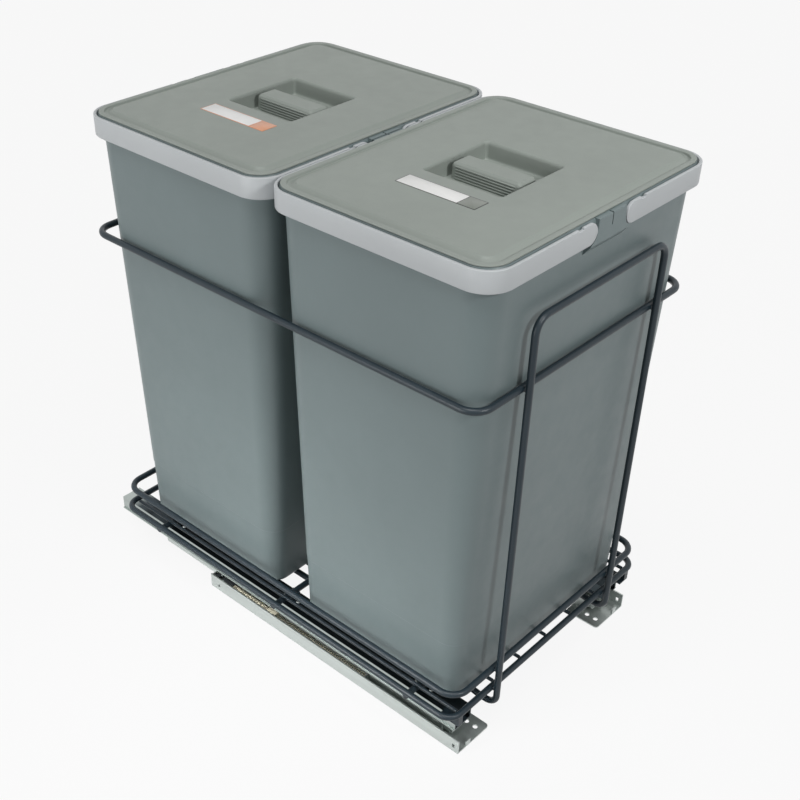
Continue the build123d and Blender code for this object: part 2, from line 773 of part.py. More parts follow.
def lid(middle_y):
    """A lid with a rim on the collar, a round-bottomed channel inside the rim, a flat
    panel and a sunk grip."""
    rim_x, rim_y = collar_x - 2 * lid_inset, collar_y - 2 * lid_inset
    rim_r = collar_corner_r - lid_inset
    skirt_inset = collar_wall - lid_inset + lid_skirt_gap
    panel_inset = lid_rim_width + lid_channel_width
    pocket_z = lid_top_z - pocket_depth
    grip_z = lid_top_z - grip_drop

    def outline(inset, mode=Mode.ADD):
        with Locations((0, middle_y)):
            RectangleRounded(rim_x - 2 * inset, rim_y - 2 * inset, rim_r - inset, mode=mode)

    with BuildPart() as cover:
        with BuildSketch(Plane.XY.offset(lid_z)):
            outline(0)
        extrude(amount=lid_rim)
        fillet(cover.faces().sort_by(Axis.Z)[-1].edges(), lid_rim_edge_r)
        with BuildSketch(Plane.XY.offset(lid_channel_z - lid_wall)):
            outline(lid_rim_width - lid_wall)
            outline(panel_inset + lid_wall, Mode.SUBTRACT)
        extrude(amount=lid_z - lid_channel_z + lid_wall)
        with BuildSketch(Plane.XY.offset(lid_z)):
            outline(panel_inset)
        extrude(amount=lid_top_z - lid_z)
        with BuildPart(mode=Mode.PRIVATE) as channel:
            with BuildSketch(Plane.XY.offset(lid_channel_z)):
                outline(lid_rim_width)
                outline(panel_inset, Mode.SUBTRACT)
            extrude(amount=lid_top_z - lid_channel_z)
            fillet(channel.faces().sort_by(Axis.Z)[0].edges(), lid_channel_r)
        add(channel.part, mode=Mode.SUBTRACT)
        with BuildSketch(Plane.XY.offset(lid_z - lid_skirt)):
            outline(skirt_inset)
            outline(skirt_inset + lid_wall, Mode.SUBTRACT)
        extrude(amount=lid_skirt)
        # the sunk pocket and its wall
        with BuildSketch(Plane.XY.offset(lid_z)):
            with Locations((0, middle_y)):
                RectangleRounded(pocket_x + 2 * lid_wall, pocket_y + 2 * lid_wall,
                                 pocket_corner_r + lid_wall)
        extrude(amount=pocket_z - lid_wall - lid_z, taper=pocket_taper)
        with BuildSketch(Plane.XY.offset(lid_top_z)):
            with Locations((0, middle_y)):
                RectangleRounded(pocket_x, pocket_y, pocket_corner_r)
        extrude(amount=-pocket_depth, taper=pocket_taper, mode=Mode.SUBTRACT)
        # the grip, hollow from below, with ribs along both of its long sides
        with BuildSketch(Plane.XY.offset(pocket_z)):
            with Locations((0, middle_y)):
                RectangleRounded(grip_x, grip_y, grip_corner_r)
        extrude(amount=grip_z - pocket_z)
        top_edges = cover.edges().filter_by_position(Axis.Z, grip_z - pick, grip_z + pick)
        fillet(top_edges, grip_top_r)
        for i in range(grip_rib_count):
            rib_z = pocket_z + grip_rib_width + i * grip_rib_pitch
            with BuildSketch(Plane.XY.offset(rib_z)):
                with Locations((0, middle_y)):
                    Rectangle(grip_x + 2 * grip_rib, grip_y - 2 * grip_corner_r)
            extrude(amount=grip_rib_width)
        with BuildSketch(Plane.XY.offset(pocket_z - lid_wall)):
            with Locations((0, middle_y)):
                RectangleRounded(grip_x - 2 * lid_wall, grip_y - 2 * lid_wall,
                                 grip_corner_r - lid_wall)
        extrude(amount=grip_z - pocket_z - grip_top_r + lid_wall, mode=Mode.SUBTRACT)
    return cover


def label(middle_y):
    """A blank plate that lies on the lid's panel beside the pocket."""
    with BuildPart() as plate:
        with BuildSketch(Plane.XY.offset(lid_top_z)):
            with Locations((-label_from_middle, middle_y)):
                RectangleRounded(label_x, label_y, label_corner_r)
        extrude(amount=label_thickness)
    return plate


# ---------------------------------------------------------------- build
print("spring least gap to itself", round(spring_self_gap(), 3), "mm")

for side_name, side in (("left", -1), ("right", 1)):
    finish(cabinet_rail(side), f"{side_name}_cabinet_rail")
    finish(middle_rail(side), f"{side_name}_middle_rail")
    finish(basket_rail(side), f"{side_name}_basket_rail")
    lower_half = track_half_width - cage_edge_gap
    upper_half = basket_half_width - sheet - cage_edge_gap
    finish(ball_cage(side, track_u, lower_cage_front_y, lower_cage_length, lower_half,
                     lower_ball_offset, lower_ball_z), f"{side_name}_lower_ball_cage")
    finish(balls(side, track_u, lower_cage_front_y, lower_cage_length,
                 lower_ball_offset, lower_ball_z), f"{side_name}_lower_balls")
    finish(ball_cage(side, plate_u, upper_cage_front_y, upper_cage_length, upper_half,
                     upper_ball_offset, upper_ball_z), f"{side_name}_upper_ball_cage")
    finish(balls(side, plate_u, upper_cage_front_y, upper_cage_length,
                 upper_ball_offset, upper_ball_z), f"{side_name}_upper_balls")
    finish(catch(side), f"{side_name}_catch")
    finish(damper_cylinder(side), f"{side_name}_damper_cylinder")
    finish(damper_rod(side), f"{side_name}_damper_rod")
    finish(spring_slider(side), f"{side_name}_spring_slider")
    finish(closing_spring(side), f"{side_name}_closing_spring")
    finish(saddles(side), f"{side_name}_wire_saddles")
    finish(rivets(side), f"{side_name}_saddle_rivets")
    finish(corner_bracket(side), f"{side_name}_corner_bracket")

finish(ring(lower_ring_z, lower_ring_x, lower_ring_corner_r), "lower_base_ring")
finish(ring(upper_ring_z, ring_x, ring_corner_r), "upper_base_ring")
finish(ring(guard_ring_z, ring_x, ring_corner_r), "guard_ring")
finish(hoop(-1), "front_hoop")
finish(hoop(1), "rear_hoop")
finish(cross_wires(), "cross_wires")
finish(floor_wires(), "floor_wires")

for place_name, place_y in (("front", bin_front_y), ("rear", bin_rear_y)):
    finish(waste_bin(place_y), f"{place_name}_bin")
    finish(lid(place_y), f"{place_name}_lid")
    finish(label(place_y), f"{place_name}_label")
    finish(bail_handle(-1, place_y), f"{place_name}_left_handle")
    finish(bail_handle(1, place_y), f"{place_name}_right_handle")
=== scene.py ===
import json
import math

import bmesh
import bpy
from mathutils import Matrix, Vector


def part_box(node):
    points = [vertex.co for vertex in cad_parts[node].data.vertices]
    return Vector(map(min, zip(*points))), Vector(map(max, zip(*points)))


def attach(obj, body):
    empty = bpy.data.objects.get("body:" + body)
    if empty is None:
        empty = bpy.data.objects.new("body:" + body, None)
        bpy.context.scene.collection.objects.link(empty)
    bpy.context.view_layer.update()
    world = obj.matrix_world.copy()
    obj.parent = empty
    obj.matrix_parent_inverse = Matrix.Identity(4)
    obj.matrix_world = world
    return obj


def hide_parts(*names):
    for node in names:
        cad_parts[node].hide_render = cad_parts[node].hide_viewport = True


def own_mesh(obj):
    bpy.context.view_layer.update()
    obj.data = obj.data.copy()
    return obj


# Pull-out waste sorter: looks of the two bins, the wire basket and the slides.
# Frame: X across the cabinet, the user stands at -Y, +Z up. Metres.

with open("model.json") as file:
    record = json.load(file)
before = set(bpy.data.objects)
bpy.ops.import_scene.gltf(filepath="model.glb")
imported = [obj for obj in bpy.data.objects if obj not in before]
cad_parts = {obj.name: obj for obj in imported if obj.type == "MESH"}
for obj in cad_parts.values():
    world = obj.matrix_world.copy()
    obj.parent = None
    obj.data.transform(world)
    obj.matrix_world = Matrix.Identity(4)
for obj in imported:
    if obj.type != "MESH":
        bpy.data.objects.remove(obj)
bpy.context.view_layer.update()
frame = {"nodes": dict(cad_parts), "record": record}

MM = 0.001

# ---------------------------------------------------------------- sizes, millimetres
wire_r = 3.5
floor_wire_r = 2.0
floor_wire_pitch = 46.0  # of the five between the outer two
wire_sides = 20
floor_wire_sides = 14
arc_steps = 8  # straight pieces to a wire's bend
ring_corner_r = 19.0
lower_ring_corner_r = 15.0
hoop_top_r = 15.0
hoop_foot_r = 13.0
hoop_ramp_r = 40.0
hoop_foot_length = 26.0
hoop_foot_ramp = 30.0
weld_r = 2.3  # bead where two wires cross
floor_weld_r = 1.5

bin_wall = 2.4
bin_foot = (147.0, 106.0, 20.0)  # half X, half Y, corner radius
bin_neck = (159.5, 119.0, 28.0)
bin_collar = (161.2, 122.8, 24.0)
collar_height = 23.0
collar_wall = 2.8
collar_slope = 3.2  # height of the bevel beside the lid's rim
collar_bevel = 1.7  # its width
bin_step_height = 74.0
bin_step = 0.5
bin_steps = 12  # straight pieces to a quarter of its corners
profile_steps = 5  # straight pieces to a rounded corner of a profile

handle_half = (165.0, 126.6)
handle_corner_r = 27.8
handle_wall = 3.2
handle_height = 20.5
handle_edge = 0.9
pivot_x = 32.5
pivot_drop = 10.25
pin_r = 2.5
pin_length = 3.0
pin_ease = 0.4
notch_start = 11.0  # from the pivot
notch_width = 6.5
notch_depth = 1.8
pad_half = 20.5
pad_shoulder = 29.0  # half its width under the handles' ends
pad_gap = 1.0
pad_proud = 126.3
pad_ease = 0.5
pad_root = 2.0  # how deep it sits in the bin
pad_slope = 9.0  # height of the slope under it
slit_half = 0.8
slit_depth = 11.0

lid_outline = (159.6, 121.2, 22.4)
rim_height = 1.5
rim_width = 5.3
channel_width = 8.8
channel_depth = 2.4  # below the rim
panel_rise = 1.0  # above the rim
lid_wall = 2.2
lid_skirt = 8.0
skirt_inset = 1.8
pocket_half = (46.5, 44.0, 4.0)
pocket_depth = 17.0
pocket_draw = 1.4  # how much further in its floor's edge is than its mouth's
grip_half = (12.5, 38.5, 4.0)
grip_drop = 1.2
grip_draw = 0.9
lid_steps = 9  # straight pieces to a quarter of its corners
rib_count = 5
rib_r = 0.95
rib_end = 1.5  # length over which a rib's end narrows
rib_end_r = 0.25
rib_inset = 4.5  # from the grip's ends
rib_first = 1.6  # above the pocket's floor
rib_pitch = 2.6
rib_proud = 0.55
rib_lean = 0.16  # how much further in each is than the one below
label_half = (10.0, 44.0)
label_from_middle = 73.5
label_border = 0.9
label_end = 20.0  # length of the coloured end
label_gap = 0.8  # between the white field and the end
label_corner_r = 0.6
label_ease = 0.05  # of its top edge, inwards
label_ease_drop = 0.04
label_step = 0.08  # how far the plate lies under the field and the end
label_lap = 0.05  # how far up the plate those two begin

spring_wire_r = 0.4
spring_r = 2.6
spring_turns = 44
spring_steps = 20  # straight pieces to a turn
spring_sides = 8

# The painted shade on the basket rails and the stage are in metres.
shade_reach = 0.148  # from the middle of the cabinet
shade_edge = 0.0006  # width of its edge there
shade_rear = 0.512  # where it has ended towards the back
shade_fade = 0.02  # length over which it ends

stage_reach = 9.0
stage_z = -0.0002  # just under the slides
stage_white = 0.9  # share of plain white in what is seen of the floor
ambient = 0.11  # strength of the world's light


# ---------------------------------------------------------------- mesh helpers
class Shell:
    """Points and faces that grow loft by loft, for one piece."""

    def __init__(self):
        self.points = []
        self.faces = []

    def add(self, points, faces):
        first = len(self.points)
        self.points += [tuple(p) for p in points]
        self.faces += [[first + i for i in face] for face in faces]

    def loft(self, rings, cap_start=True, loop=False):
        """Quads between rings of as many points each, capped unless they make a loop."""
        count = len(rings[0])
        points = [p for ring in rings for p in ring]
        faces = []
        steps = len(rings) if loop else len(rings) - 1
        for r in range(steps):
            low, high = r * count, (r + 1) % len(rings) * count
            for i in range(count):
                j = (i + 1) % count
                faces.append([low + i, low + j, high + j, high + i])
        if cap_start and not loop:
            faces.append(list(range(count))[::-1])
        if not loop:
            faces.append([(len(rings) - 1) * count + i for i in range(count)])
        self.add(points, faces)

    def piece(self, name, body, slot, material, smooth_angle=35.0):
        """The mesh object, made from millimetres and riding on a body."""
        mesh = bpy.data.meshes.new(name)
        mesh.from_pydata([Vector(p) * MM for p in self.points], [], self.faces)
        edit = bmesh.new()
        edit.from_mesh(mesh)
        bmesh.ops.remove_doubles(edit, verts=edit.verts, dist=1e-7)
        bmesh.ops.recalc_face_normals(edit, faces=edit.faces)
        edit.to_mesh(mesh)
        edit.free()
        mesh.materials.append(material)
        mesh.polygons.foreach_set("use_smooth", [True] * len(mesh.polygons))
        mesh.set_sharp_from_angle(angle=math.radians(smooth_angle))
        piece = bpy.data.objects.new(name, mesh)
        bpy.context.scene.collection.objects.link(piece)
        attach(piece, body)
        return piece


def circle(sides):
    """The cosine and sine of as many angles, evenly round."""
    angles = [2 * math.pi * s / sides for s in range(sides)]
    return [(math.cos(a), math.sin(a)) for a in angles]


def outline(half_x, half_y, radius, z, middle_y, steps):
    """A rounded rectangle, anticlockwise."""
    points = []
    for corner, (sx, sy) in enumerate(((1, -1), (1, 1), (-1, 1), (-1, -1))):
        for i in range(steps + 1):
            a = (corner - 1 + i / steps) * math.pi / 2
            points.append((sx * (half_x - radius) + radius * math.cos(a),
                           middle_y + sy * (half_y - radius) + radius * math.sin(a), z))
    return points


def soften(stations):
    """Round a profile. A station is (values, cut). The values are a rounded
    rectangle's half X, half Y, radius and Z. The cut is how far its corner is taken
    back towards either neighbour, measured over all four values."""
    rounded = []
    for i, (here, cut) in enumerate(stations):
        if cut == 0:
            rounded.append(tuple(here))
            continue
        corner = Vector(here)
        before, after = Vector(stations[i - 1][0]), Vector(stations[i + 1][0])
        start = corner.lerp(before, min(cut / (before - corner).length, 0.5))
        end = corner.lerp(after, min(cut / (after - corner).length, 0.5))
        for s in range(profile_steps + 1):
            t = s / profile_steps
            rounded.append(tuple(start * (1 - t) ** 2 + corner * 2 * t * (1 - t)
                                 + end * t * t))
    return rounded


def round_route(points, radii, closed=False):
    """Points along straight runs joined by arcs, one radius a corner."""
    route = []
    count = len(points)
    for i in range(count):
        here = Vector(points[i])
        if not closed and i in (0, count - 1):
            route.append(here)
            continue
        before, after = Vector(points[i - 1]), Vector(points[(i + 1) % count])
        into, out = (here - before).normalized(), (after - here).normalized()
        turn = into.angle(out)
        if turn < 1e-4:
            route.append(here)
            continue
        centre = here + (out - into).normalized() * (radii[i] / math.cos(turn / 2))
        arm = here - into * (radii[i] * math.tan(turn / 2)) - centre
        axis = into.cross(out).normalized()
        for s in range(arc_steps + 1):
            route.append(centre + Matrix.Rotation(turn * s / arc_steps, 3, axis) @ arm)
    return route


def tube_rings(route, radius, sides, closed=False, round_ends=0.6):
    """Circles along a route, turned as little as possible from one to the next."""
    count = len(route)
    rings = []
    directions = []
    normal = None
    for i, here in enumerate(route):
        before = route[i - 1] if (i > 0 or closed) else here
        after = route[(i + 1) % count] if (i < count - 1 or closed) else here
        along = (after - before).normalized()
        if normal is None:
            normal = along.orthogonal().normalized()
        normal = (normal - along * normal.dot(along)).normalized()
        side = along.cross(normal)
        rings.append([here + (normal * c + side * s) * radius for c, s in circle(sides)])
        directions.append(along)
    if closed or not round_ends:
        return rings

    def rounded(ring, centre, inwards):
        """A smaller circle at the end of the route, and a full one a little inside."""
        small = [centre + (p - centre) * (1 - round_ends / radius) for p in ring]
        return small, [p + inwards * round_ends for p in ring]

    small_start, full_start = rounded(rings[0], route[0], directions[0])
    small_end, full_end = rounded(rings[-1], route[-1], -directions[-1])
    return [small_start, full_start, *rings[1:-1], full_end, small_end]


def add_tube(shell, route, radius, sides=wire_sides, closed=False):
    shell.loft(tube_rings(route, radius, sides, closed), loop=closed)


def add_bead(shell, centre, radius, stretch):
    """A weld bead: a small round lump, longer along the wires than across."""
    rings = []
    for i in range(1, 8):
        tilt = math.pi * i / 8
        rings.append([(centre[0] + stretch[0] * radius * math.sin(tilt) * c,
                       centre[1] + stretch[1] * radius * math.sin(tilt) * s,
                       centre[2] + stretch[2] * radius * math.cos(tilt))
                      for c, s in circle(12)])
    shell.loft(rings)


# ---------------------------------------------------------------- materials
def linear(red, green, blue):
    """A colour as seen on screen, 0 to 255, in the renderer's linear values."""
    def one(value):
        value /= 255
        return value / 12.92 if value <= 0.04045 else ((value + 0.055) / 1.055) ** 2.4
    return (one(red), one(green), one(blue), 1.0)


def maths(tree, operation, *values):
    """A sum in a node tree, of numbers and of other nodes' outputs."""
    made = tree.nodes.new("ShaderNodeMath")
    made.operation = operation
    for socket, value in zip(made.inputs, values):
        if isinstance(value, bpy.types.NodeSocket):
            tree.links.new(value, socket)
        else:
            socket.default_value = value
    return made.outputs[0]


class Look:
    """A node material with the few links that all of these share."""

    def __init__(self, name):
        self.material = bpy.data.materials.new(name)
        self.material.use_nodes = True
        self.tree = self.material.node_tree
        self.shader = self.tree.nodes["Principled BSDF"]
        self.place = self.tree.nodes.new("ShaderNodeTexCoord").outputs["Object"]

    def put(self, socket, value):
        self.shader.inputs[socket].default_value = value

    def node(self, kind, **sockets):
        made = self.tree.nodes.new(kind)
        for socket, value in sockets.items():
            made.inputs[socket.replace("_", " ")].default_value = value
        return made

    def link(self, out, into):
        self.tree.links.new(out, into)

    def stretched(self, scale):
        mapping = self.node("ShaderNodeMapping", Scale=scale)
        self.link(self.place, mapping.inputs["Vector"])
        return mapping.outputs["Vector"]

    def noise(self, scale, detail=3.0, rough=0.55, vector=None):
        made = self.node("ShaderNodeTexNoise", Scale=scale, Detail=detail, Roughness=rough)
        self.link(vector or self.place, made.inputs["Vector"])
        return made.outputs["Fac"]

    def ramp(self, fac, dark, light, low=0.3, high=0.7):
        """From dark to light, as a rule over the range that a noise mostly keeps to."""
        made = self.node("ShaderNodeValToRGB")
        first, last = made.color_ramp.elements
        first.position, first.color = low, dark
        last.position, last.color = high, light
        self.link(fac, made.inputs["Fac"])
        return made.outputs["Color"]

    def remap(self, value, from_low, from_high, to_low=0.0, to_high=1.0):
        made = self.node("ShaderNodeMapRange", From_Min=from_low, From_Max=from_high,
                         To_Min=to_low, To_Max=to_high)
        self.link(value, made.inputs["Value"])
        return made.outputs["Result"]

    def vary_colour(self, fac, dark, light):
        self.link(self.ramp(fac, dark, light), self.shader.inputs["Base Color"])

    def vary_roughness(self, fac, low, high):
        self.link(self.remap(fac, 0.3, 0.7, low, high), self.shader.inputs["Roughness"])

    def bump(self, layers):
        """Layers of (height, strength, distance), the coarsest first."""
        normal = None
        for height, strength, distance in layers:
            made = self.node("ShaderNodeBump", Strength=strength, Distance=distance)
            self.link(height, made.inputs["Height"])
            if normal is not None:
                self.link(normal, made.inputs["Normal"])
            normal = made.outputs["Normal"]
        self.link(normal, self.shader.inputs["Normal"])


def shade(colour, factor):
    return (colour[0] * factor, colour[1] * factor, colour[2] * factor, 1.0)


def moulded_plastic(name, colour, low_rough, high_rough, grain=0.35):
    """Textured polypropylene: a fine eroded grain and a faint cloud in its colour."""
    look = Look(name)
    cloud = look.noise(9.0, detail=4.0)
    look.vary_colour(cloud, shade(colour, 0.965), shade(colour, 1.03))
    look.vary_roughness(look.noise(60.0, detail=5.0), low_rough, high_rough)
    fine = look.noise(2600.0, detail=2.0, rough=0.6)
    waves = look.noise(22.0, detail=1.0)
    look.bump([(waves, 0.12, 0.0012), (fine, grain, 0.00012)])
    look.put("Specular IOR Level", 0.42)
    return look.material


def powder_coat(name, colour):
    """Coated wire: a soft orange peel with a satin gloss."""
    look = Look(name)
    look.vary_colour(look.noise(35.0), shade(colour, 0.93), shade(colour, 1.06))
    look.vary_roughness(look.noise(180.0), 0.32, 0.42)
    look.bump([(look.noise(900.0, detail=2.0), 0.22, 0.00025)])
    look.put("Specular IOR Level", 0.35)
    return look.material


def zinc_sheet(name, colour, low_rough, high_rough):
    """Plated sheet steel, with faint rolling streaks along the rails and spangle."""
    look = Look(name)
    look.put("Metallic", 0.75)
    rolled = look.noise(160.0, detail=4.0, vector=look.stretched((1.0, 0.03, 1.0)))
    spangle = look.node("ShaderNodeTexVoronoi", Scale=260.0)
    look.link(look.place, spangle.inputs["Vector"])
    mixed = look.node("ShaderNodeMixRGB", Fac=0.1)
    look.link(rolled, mixed.inputs["Color1"])
    look.link(spangle.outputs["Color"], mixed.inputs["Color2"])
    look.link(look.ramp(mixed.outputs["Color"], shade(colour, 0.93), shade(colour, 1.05),
                        0.25, 0.75), look.shader.inputs["Base Color"])
    look.vary_roughness(rolled, low_rough, high_rough)
    look.bump([(rolled, 0.12, 0.0001)])
    return look.material


def shaded_rail(name, colour, painted_shade, low_rough, high_rough):
    """Rail steel with painted shade along its top, where the wires and bins above shade it,
    and its own pale colour at its outer lip and towards the back.
    """
    look = Look(name)
    look.put("Metallic", 1.0)
    apart = look.node("ShaderNodeSeparateXYZ")
    look.link(look.place, apart.inputs["Vector"])
    sideways = maths(look.tree, "ABSOLUTE", apart.outputs["X"])
    # Painted shade: dark over the middle of the cabinet and in front of the rear end, the
    # rail's own pale steel beyond.
    unshaded = maths(look.tree, "MAXIMUM", look.remap(sideways, shade_reach - shade_edge, shade_reach),
                 look.remap(apart.outputs["Y"], shade_rear - shade_fade, shade_rear))
    streaks = look.noise(90.0, detail=4.0, vector=look.stretched((1.0, 0.05, 1.0)))
    mixed = look.node("ShaderNodeMixRGB")
    look.link(unshaded, mixed.inputs["Fac"])
    look.link(look.ramp(streaks, shade(painted_shade, 0.85), shade(painted_shade, 1.15)),
              mixed.inputs["Color1"])
    look.link(look.ramp(streaks, shade(colour, 0.93), shade(colour, 1.05)),
              mixed.inputs["Color2"])
    look.link(mixed.outputs["Color"], look.shader.inputs["Base Color"])
    look.vary_roughness(streaks, low_rough, high_rough)
    look.bump([(streaks, 0.1, 0.0001)])
    return look.material


def bright_metal(name, colour, rough):
    look = Look(name)
    look.put("Metallic", 1.0)
    look.vary_colour(look.noise(220.0), shade(colour, 0.92), shade(colour, 1.05))
    look.vary_roughness(look.noise(500.0), rough, rough + 0.12)
    look.bump([(look.noise(1500.0), 0.08, 0.00008)])
    return look.material


def label_film(name, colour):
    """Printed film with a slight sheen."""
    look = Look(name)
    look.vary_colour(look.noise(80.0), shade(colour, 0.96), colour)
    look.put("Roughness", 0.35)
    look.bump([(look.noise(700.0), 0.08, 0.0001)])
    return look.material


materials = {
    "bin_plastic": moulded_plastic("bin_plastic", linear(109, 122, 123), 0.36, 0.46),
    "lid_plastic": moulded_plastic("lid_plastic", linear(144, 151, 145), 0.46, 0.56),
    "handle_plastic": moulded_plastic("handle_plastic", linear(183, 187, 189), 0.36, 0.46,
                                      grain=0.2),
    "wire_coating": powder_coat("wire_coating", linear(31, 43, 50)),
    "rail_steel": zinc_sheet("rail_steel", linear(190, 197, 194), 0.3, 0.42),
    "cage_steel": zinc_sheet("cage_steel", linear(150, 156, 156), 0.35, 0.5),
    "ball_steel": bright_metal("ball_steel", linear(205, 208, 210), 0.12),
    "spring_steel": bright_metal("spring_steel", linear(226, 220, 200), 0.4),
    "rod_steel": bright_metal("rod_steel", linear(190, 192, 192), 0.2),
    "rivet_steel": bright_metal("rivet_steel", linear(185, 190, 190), 0.3),
    "catch_plastic": moulded_plastic("catch_plastic", linear(58, 62, 64), 0.4, 0.5),
    "damper_plastic": moulded_plastic("damper_plastic", linear(226, 220, 196), 0.35, 0.45),
}
# The second colour is painted shade for the rail tops under the wires and bins.
basket_rail_steel = shaded_rail("basket_rail_steel", linear(172, 180, 177),
                               linear(62, 70, 74), 0.3, 0.42)
label_white = label_film("label_white", linear(240, 240, 238))
label_trims = {"front": label_film("label_black", linear(52, 54, 54)),
               "rear": label_film("label_orange", linear(214, 138, 98))}
label_ends = {"front": label_film("label_grey", linear(122, 128, 120)),
              "rear": label_film("label_apricot", linear(222, 158, 122))}


# ---------------------------------------------------------------- bins
def grown(base, by):
    """A rounded rectangle (half X, half Y, radius) with all its sides moved out."""
    return tuple(value + by for value in base)


def body_at(share):
    """The bin's section at a share of the way from its foot to its neck."""
    return tuple(a + (b - a) * share for a, b in zip(bin_foot, bin_neck))


def waste_bin(place, body):
    """The tub as one closed shell from its underside over the rim to its floor."""
    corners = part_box(f"{place}_bin")
    low, high = (corner[2] / MM for corner in corners)
    middle_y = (corners[0][1] + corners[1][1]) / 2 / MM
    collar_z = high - collar_height
    step = bin_step_height / (collar_z - low)
    inner_foot = grown(bin_foot, -bin_wall)
    inner_neck = grown(bin_neck, -bin_wall)
    foot_in = grown(bin_foot, -bin_step)
    stations = [  # from under the foot, up over the collar, to the floor inside
        ((*grown(foot_in, -16), low), 0),
        ((*foot_in, low), 6),
        ((*grown(body_at(step), -bin_step), low + bin_step_height - 0.6), 0.4),
        ((*body_at(step), low + bin_step_height), 0.25),
        ((*bin_neck, collar_z), 0.9),
        ((*bin_collar, collar_z), 1.0),
        ((*bin_collar, high - collar_slope), 0.6),
        ((*grown(bin_collar, -collar_bevel), high), 0.4),
        ((*grown(bin_collar, -collar_wall), high), 0.3),
        ((*grown(bin_collar, -collar_wall), collar_z), 1.5),
        ((*inner_neck, collar_z - 1.2), 1.5),
        ((*inner_foot, low + bin_wall), 8),
        ((*grown(inner_foot, -18), low + bin_wall), 0),
    ]
    shell = Shell()
    shell.loft([outline(*station, middle_y, bin_steps) for station in soften(stations)])
    for end in (-1, 1):
        add_pad(shell, middle_y, end, high)
    tub = shell.piece(f"{place}_bin_shell", body, "bin_plastic", materials["bin_plastic"])
    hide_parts(f"{place}_bin")


def add_pad(shell, middle_y, end, top_z):
    """The hinge pad between the handle ends, with a slit from its top."""
    pivot_z = top_z - pivot_drop
    reach = handle_height / 2 + pad_gap
    bottom_z = top_z - collar_height
    side = []
    for i in range(9):
        drop = (pivot_z - bottom_z) * i / 8
        bulge = pivot_x - math.sqrt(max(reach ** 2 - drop ** 2, 0))
        side.append((max(min(bulge, pad_shoulder), pad_half), pivot_z - drop))
    half = [(slit_half, top_z - slit_depth), (slit_half, top_z), (pad_half, top_z)] + side
    section = half + [(-x, z) for x, z in reversed(half)]
    centre_z = (top_z + bottom_z) / 2
    rings = []
    for depth, inset in ((bin_collar[1] - pad_root, 0.0), (pad_proud - pad_ease, 0.0),
                         (pad_proud, pad_ease)):
        ring = []
        for x, z in section:
            x_in = x - math.copysign(min(inset, abs(x) * 0.3), x)
            z_in = z - inset * (1 if z > centre_z else -1)
            ring.append((x_in, middle_y + end * depth, z_in))
        rings.append(ring)
    shell.loft(rings, cap_start=False)
    lap, sunk = 0.2, 0.4  # so that no two faces lie in one plane
    wedge = [(x, middle_y + end * depth, z)
             for depth, z in ((pad_proud - sunk, bottom_z + lap),
                              (bin_neck[1] - sunk, bottom_z - pad_slope),
                              (bin_neck[1] - pad_root, bottom_z + lap))
             for x in (-pad_shoulder, pad_shoulder)]
    shell.add(wedge, [[0, 1, 3, 2], [0, 2, 4], [1, 5, 3], [0, 4, 5, 1], [2, 3, 5, 4]])


# ---------------------------------------------------------------- handles
def handle_section(half_height, drop):
    """The band's section: (outwards, up) pairs, with rounded edges."""
    half_wall = handle_wall / 2
    edge = min(handle_edge, half_height * 0.9)
    section = []
    for corner, (su, sz) in enumerate(((1, -1), (1, 1), (-1, 1), (-1, -1))):
        top = half_height - (drop if sz > 0 else 0)
        for i in range(4):
            a = (corner - 1 + i / 3) * math.pi / 2
            section.append((su * (half_wall - edge) + edge * math.cos(a),
                            sz * (top - edge) + edge * math.sin(a)))
    return section


def bail_handle(place, side_name, side, body):
    """The flat band round half the collar, round at both ends, with its two pins."""
    low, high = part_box(f"{place}_{side_name}_handle")
    middle_y = (low[1] + high[1]) / 2 / MM
    pivot_z = (low[2] + high[2]) / 2 / MM
    half_y = handle_half[1] - handle_wall / 2
    half_x = handle_half[0] - handle_wall / 2
    corner_r = handle_corner_r - handle_wall / 2
    reach = handle_height / 2
    stations = []  # distance along the arm from the pivot, half height, notch drop
    for i in range(9):
        a = math.pi / 2 * i / 8
        stations.append((-reach * math.cos(a), max(reach * math.sin(a), 0.25), 0))
    notch_end = notch_start + notch_width
    for x, drop in ((notch_start - 0.5, 0), (notch_start, notch_depth),
                    (notch_end, notch_depth), (notch_end + 0.5, 0)):
        stations.append((x, reach, drop))

    def arm(end):
        rings = []
        for x, half_height, drop in stations:
            section = handle_section(half_height, drop)
            rings.append([(side * (pivot_x + x), middle_y + end * (half_y + out),
                           pivot_z + up) for out, up in section])
        return rings

    def bend(end):
        rings = []
        for i in range(13):
            a = math.pi / 2 * i / 12
            direction = (math.sin(a), math.cos(a))
            rings.append([(side * (half_x - corner_r + (corner_r + out) * direction[0]),
                           middle_y + end * (half_y - corner_r
                                             + (corner_r + out) * direction[1]),
                           pivot_z + up) for out, up in handle_section(reach, 0)])
        return rings

    shell = Shell()
    shell.loft(arm(-1) + bend(-1) + bend(1)[::-1] + arm(1)[::-1])
    for end in (-1, 1):
        face = middle_y + end * (handle_half[1] - handle_wall + 0.1)
        shell.loft([[(side * pivot_x + radius * c, face - end * depth, pivot_z + radius * s)
                     for c, s in circle(20)]
                    for depth, radius in ((0.0, pin_r), (pin_length - pin_ease, pin_r),
                                          (pin_length, pin_r - pin_ease))])
    band = shell.piece(f"{place}_{side_name}_bail_band", body, "handle_plastic",
                       materials["handle_plastic"])
    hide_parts(f"{place}_{side_name}_handle")


